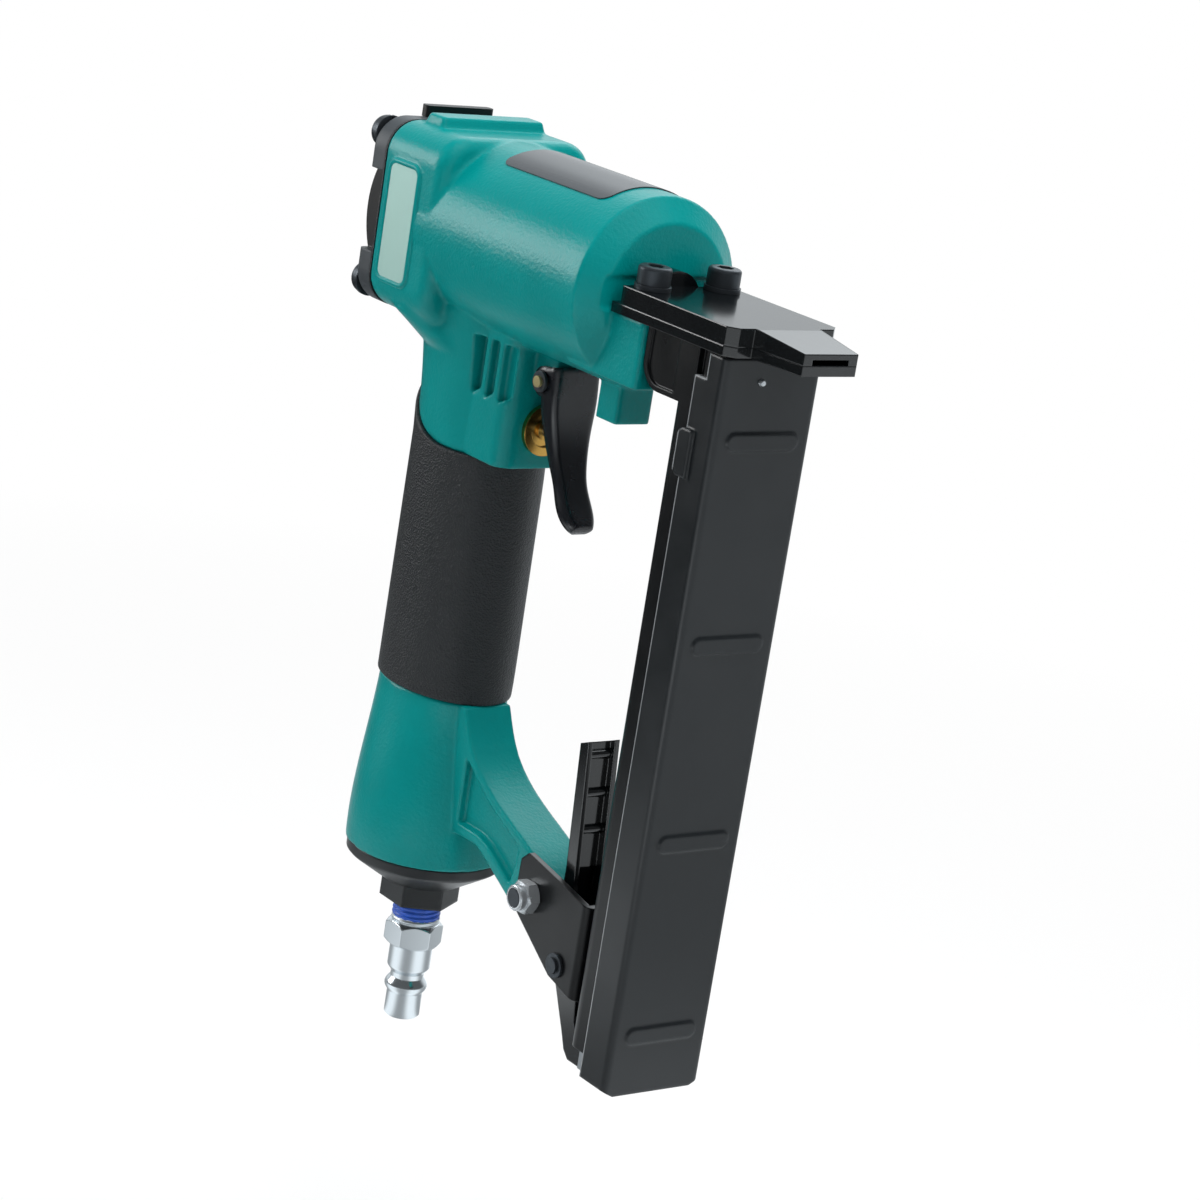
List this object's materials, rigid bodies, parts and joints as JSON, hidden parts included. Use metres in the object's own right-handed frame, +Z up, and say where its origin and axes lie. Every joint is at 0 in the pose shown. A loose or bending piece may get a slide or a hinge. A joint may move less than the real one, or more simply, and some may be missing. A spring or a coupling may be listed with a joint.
{
  "type": "pneumatic upholstery stapler",
  "caption": "Air powered upholstery stapler: round driver barrel, rubber gripped handle, trigger valve, long nose plates, latched bottom-loading magazine and a push-in air plug.",
  "frame": {"origin": "centre of the air plug's free end, on the plug's axis", "axes": "+Z up along the handle, from the plug to the barrel; +X the way the staple leaves; +Y to the tool's left"},
  "size_m": [0.1724, 0.0503, 0.2503],
  "materials": {
    "teal_casting": "gloss paint with fine orange peel",
    "grey_casting": "dark grey paint, satin",
    "grip_rubber": "matt, fine leather grain",
    "seal_rubber": "matt",
    "black_steel": "black oxide, semi gloss",
    "grey_steel": "grey coating, satin",
    "bright_steel": "zinc plated",
    "oxide_steel": "black oxide, oiled",
    "spring_steel": "bright wire",
    "chrome_plug": "polished",
    "brass": "turned",
    "bare_aluminium": "satin",
    "black_plastic": "matt",
    "blue_sealant": "cured thread sealant"
  },
  "bodies": {
    "tool": {"body": "teal_casting", "cylinder_cap": "grey_casting", "grip_sleeve": "grip_rubber", "bumper": "seal_rubber", "end_cap_seal": "seal_rubber", "cap_gasket": "seal_rubber", "blade_guide": "black_steel", "base_plate": "black_steel", "front_plate": "black_steel", "magazine_rail": "black_steel", "rail_spine": "black_steel", "bracket": "black_steel", "end_cap": "black_steel", "trigger_pin": "bright_steel", "bracket_rivets": "bright_steel", "bracket_nut": "bright_steel", "cap_washers": "oxide_steel", "cap_screws": "oxide_steel", "nose_washers": "oxide_steel", "nose_screws": "oxide_steel", "trigger_clips": "oxide_steel", "bracket_bolt": "oxide_steel", "latch_pin": "oxide_steel", "latch_clips": "oxide_steel", "head_valve_spring": "spring_steel", "valve_spring": "spring_steel", "latch_spring": "spring_steel", "air_plug": "chrome_plug", "valve_bushing": "brass", "name_plate": "bare_aluminium", "cylinder_sleeve": "bare_aluminium", "label_plate": "black_plastic", "exhaust_deflector": "black_plastic", "thread_sealant": "blue_sealant"},
    "driver": {"piston": "bare_aluminium", "piston_ring": "seal_rubber", "driver_blade": "bright_steel", "driver_pin": "bright_steel"},
    "head_valve": {"head_valve": "black_plastic", "head_valve_seal": "seal_rubber"},
    "trigger": {"trigger": "black_steel"},
    "valve_stem": {"valve_stem": "bright_steel"},
    "magazine_slide": {"magazine_cover": "grey_steel", "cover_stud": "bright_steel", "core_rail": "bright_steel", "guide_rod": "bright_steel", "tail_block": "bright_steel", "pusher_spring": "spring_steel"},
    "pusher": {"pusher": "bright_steel"},
    "latch": {"latch_lever": "black_steel"}
  },
  "joints": [
    {"name": "driver_slide", "type": "slide", "parent": "tool", "child": "driver", "axis": [1, 0, 0], "range_m": [0, 0.045]},
    {"name": "head_valve_slide", "type": "slide", "parent": "tool", "child": "head_valve", "axis": [-1, 0, 0], "range_m": [0, 0.004], "stiffness_N_per_m": 1500, "springref_m": -0.002, "deforming": ["head_valve_spring"]},
    {"name": "trigger_pivot", "type": "hinge", "parent": "tool", "child": "trigger", "pos_m": [0.0304, 0, 0.191], "axis": [0, 1, 0], "range_deg": [0, 12], "stiffness_Nm_per_rad": 0.6, "springref_deg": -11.46},
    {"name": "valve_stem_slide", "type": "slide", "parent": "tool", "child": "valve_stem", "axis": [-1, 0, 0], "range_m": [0, 0.0031], "deforming": ["valve_spring"]},
    {"name": "magazine_slide", "type": "slide", "parent": "tool", "child": "magazine_slide", "axis": [0, 0, -1], "range_m": [0, 0.115]},
    {"name": "pusher_slide", "type": "slide", "parent": "magazine_slide", "child": "pusher", "axis": [0, 0, -1], "range_m": [0, 0.12], "stiffness_N_per_m": 40, "springref_m": -0.1, "deforming": ["pusher_spring"]},
    {"name": "latch_pivot", "type": "hinge", "parent": "tool", "child": "latch", "pos_m": [0.0766, 0, 0.047], "axis": [0, 1, 0], "range_deg": [0, 8], "stiffness_Nm_per_rad": 0.5, "springref_deg": -17.19, "deforming": ["latch_spring"]}
  ],
  "couplings": [
    {"joint": "valve_stem_slide", "follows": "trigger_pivot", "m_per_rad": 0.0146}
  ]
}
